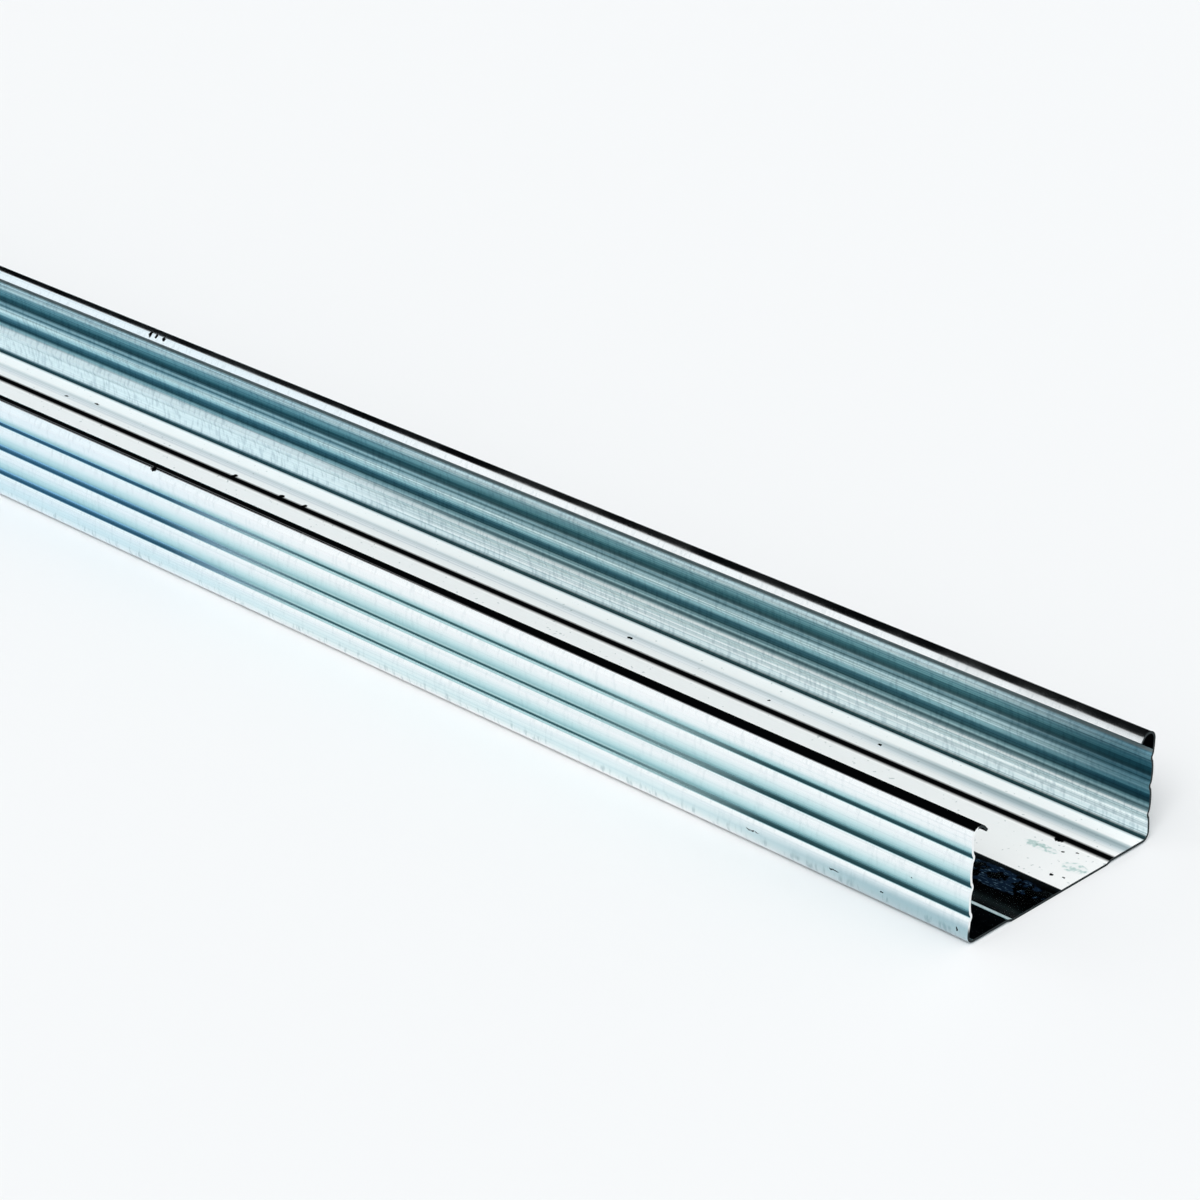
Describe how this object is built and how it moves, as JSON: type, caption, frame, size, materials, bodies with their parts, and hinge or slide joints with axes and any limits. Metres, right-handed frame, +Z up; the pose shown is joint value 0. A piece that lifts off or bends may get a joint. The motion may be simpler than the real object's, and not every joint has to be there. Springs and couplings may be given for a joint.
{
  "type": "drywall ceiling channel",
  "caption": "Long rolled sheet-steel C channel with grooved flanges, lips curled inwards and a stepped flat web, which carries plasterboard in a suspended ceiling.",
  "frame": {"origin": "middle of the board face: half-way along the stock, half-way across the web, on its lowest plane", "axes": "+X along the stock, +Y across the web, +Z up out of the open side"},
  "size_m": [3, 0.06, 0.027],
  "materials": {
    "galvanised_steel": "hot-dip galvanised, semi-bright, with fine roll marks"
  },
  "bodies": {
    "root": {"ceiling_channel": "galvanised_steel"}
  },
  "joints": []
}
